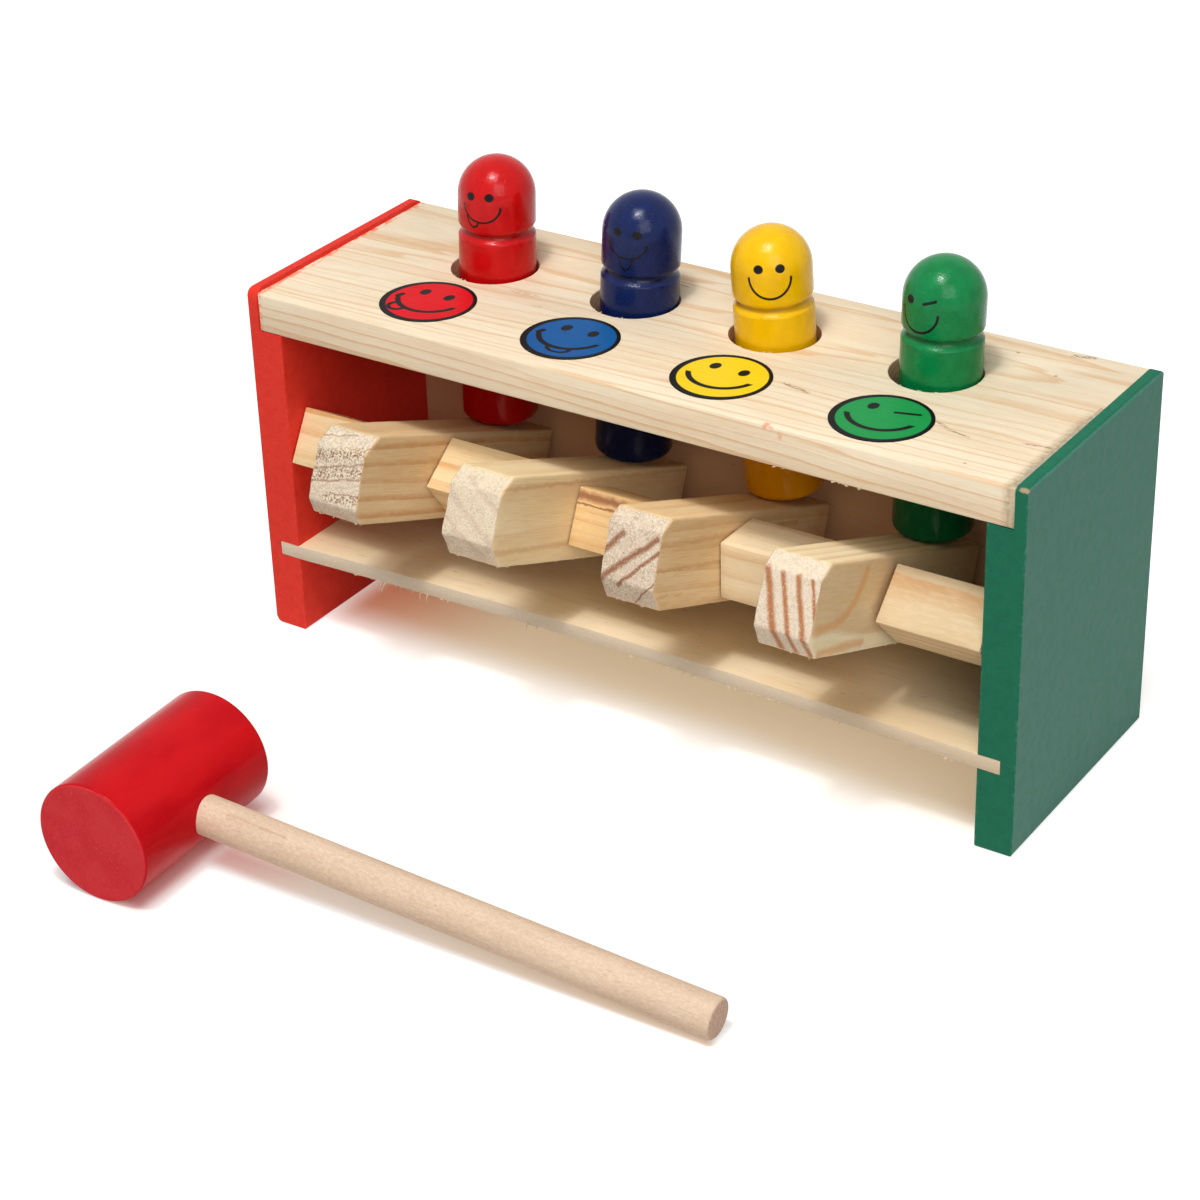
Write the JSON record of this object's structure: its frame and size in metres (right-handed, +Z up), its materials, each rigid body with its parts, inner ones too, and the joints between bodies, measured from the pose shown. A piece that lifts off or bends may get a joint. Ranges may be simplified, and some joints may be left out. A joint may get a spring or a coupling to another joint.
{
  "type": "peg pounding bench",
  "caption": "Pounding bench: pegs driven down through a deck tip levers on an axle, and pressing the levers lifts the pegs again; loose spacer blocks turn on the axle; with a mallet.",
  "frame": {"origin": "on the floor, at the bottom centre of the box round the whole set, bench and mallet", "axes": "+X along the bench from the red end to the green end, +Y from the front to the back, +Z up"},
  "size_m": [0.226, 0.2014, 0.1306],
  "materials": {
    "pine_deck": "bare pine, sanded",
    "red_panel_paint": "painted fibreboard, satin",
    "green_panel_paint": "painted fibreboard, satin",
    "plywood": "bare birch plywood",
    "dowel": "bare birch dowel",
    "pine_lever": "bare pine, sawn ends",
    "pine_block": "bare pine, sawn ends",
    "red_peg_paint": "gloss paint on wood",
    "blue_peg_paint": "gloss paint on wood",
    "yellow_peg_paint": "gloss paint on wood",
    "green_peg_paint": "gloss paint on wood",
    "red_print": "printed film",
    "blue_print": "printed film",
    "yellow_print": "printed film",
    "green_print": "printed film",
    "mallet_paint": "gloss paint on wood, matt ends"
  },
  "bodies": {
    "bench": {"deck_board": "pine_deck", "red_end_panel": "red_panel_paint", "green_end_panel": "green_panel_paint", "shelf_board": "plywood", "back_board": "plywood", "axle_rod": "dowel", "red_sticker": "red_print", "blue_sticker": "blue_print", "yellow_sticker": "yellow_print", "green_sticker": "green_print"},
    "red_lever": {"red_peg_lever": "pine_lever"},
    "blue_lever": {"blue_peg_lever": "pine_lever"},
    "yellow_lever": {"yellow_peg_lever": "pine_lever"},
    "green_lever": {"green_peg_lever": "pine_lever"},
    "red_peg": {"red_peg": "red_peg_paint"},
    "blue_peg": {"blue_peg": "blue_peg_paint"},
    "yellow_peg": {"yellow_peg": "yellow_peg_paint"},
    "green_peg": {"green_peg": "green_peg_paint"},
    "spacer_1": {"spacer_block_1": "pine_block"},
    "spacer_2": {"spacer_block_2": "pine_block"},
    "spacer_3": {"spacer_block_3": "pine_block"},
    "spacer_4": {"spacer_block_4": "pine_block"},
    "spacer_5": {"spacer_block_5": "pine_block"},
    "mallet": {"mallet_head": "mallet_paint", "mallet_handle": "dowel"}
  },
  "joints": [
    {"name": "red_lever_tilt", "type": "hinge", "parent": "bench", "child": "red_lever", "pos_m": [-0.06555, 0.03749, 0.055], "axis": [1, 0, 0], "range_deg": [0, 56]},
    {"name": "blue_lever_tilt", "type": "hinge", "parent": "bench", "child": "blue_lever", "pos_m": [-0.02185, 0.03749, 0.055], "axis": [1, 0, 0], "range_deg": [0, 56]},
    {"name": "yellow_lever_tilt", "type": "hinge", "parent": "bench", "child": "yellow_lever", "pos_m": [0.02185, 0.03749, 0.055], "axis": [1, 0, 0], "range_deg": [0, 55]},
    {"name": "green_lever_tilt", "type": "hinge", "parent": "bench", "child": "green_lever", "pos_m": [0.06555, 0.03749, 0.055], "axis": [1, 0, 0], "range_deg": [0, 56]},
    {"name": "red_peg_slide", "type": "slide", "parent": "bench", "child": "red_peg", "axis": [0.0237, 0.0148, 0.9996], "range_m": [0, 0.0358]},
    {"name": "blue_peg_slide", "type": "slide", "parent": "bench", "child": "blue_peg", "axis": [0.0488, 0.0305, 0.9983], "range_m": [0, 0.0358]},
    {"name": "yellow_peg_slide", "type": "slide", "parent": "bench", "child": "yellow_peg", "axis": [-0.0473, -0.0296, 0.9984], "range_m": [0, 0.0352]},
    {"name": "green_peg_slide", "type": "slide", "parent": "bench", "child": "green_peg", "axis": [0.0178, 0.0111, 0.9998], "range_m": [0, 0.0358]},
    {"name": "spacer_1_spin", "type": "hinge", "parent": "bench", "child": "spacer_1", "pos_m": [-0.0886, 0.03749, 0.055], "axis": [1, 0, 0], "continuous": true},
    {"name": "spacer_2_spin", "type": "hinge", "parent": "bench", "child": "spacer_2", "pos_m": [-0.0437, 0.03749, 0.055], "axis": [1, 0, 0], "continuous": true},
    {"name": "spacer_3_spin", "type": "hinge", "parent": "bench", "child": "spacer_3", "pos_m": [0, 0.03749, 0.055], "axis": [1, 0, 0], "continuous": true},
    {"name": "spacer_4_spin", "type": "hinge", "parent": "bench", "child": "spacer_4", "pos_m": [0.0437, 0.03749, 0.055], "axis": [1, 0, 0], "continuous": true},
    {"name": "spacer_5_spin", "type": "hinge", "parent": "bench", "child": "spacer_5", "pos_m": [0.0886, 0.03749, 0.055], "axis": [1, 0, 0], "continuous": true},
    {"name": "mallet_lift", "type": "slide", "parent": "bench", "child": "mallet", "axis": [0, 0, 1], "range_m": [0, 0.15]}
  ],
  "couplings": [
    {"joint": "red_peg_slide", "follows": "red_lever_tilt", "m_per_rad": 0.0365},
    {"joint": "blue_peg_slide", "follows": "blue_lever_tilt", "m_per_rad": 0.0365},
    {"joint": "yellow_peg_slide", "follows": "yellow_lever_tilt", "m_per_rad": 0.0365},
    {"joint": "green_peg_slide", "follows": "green_lever_tilt", "m_per_rad": 0.0365}
  ]
}
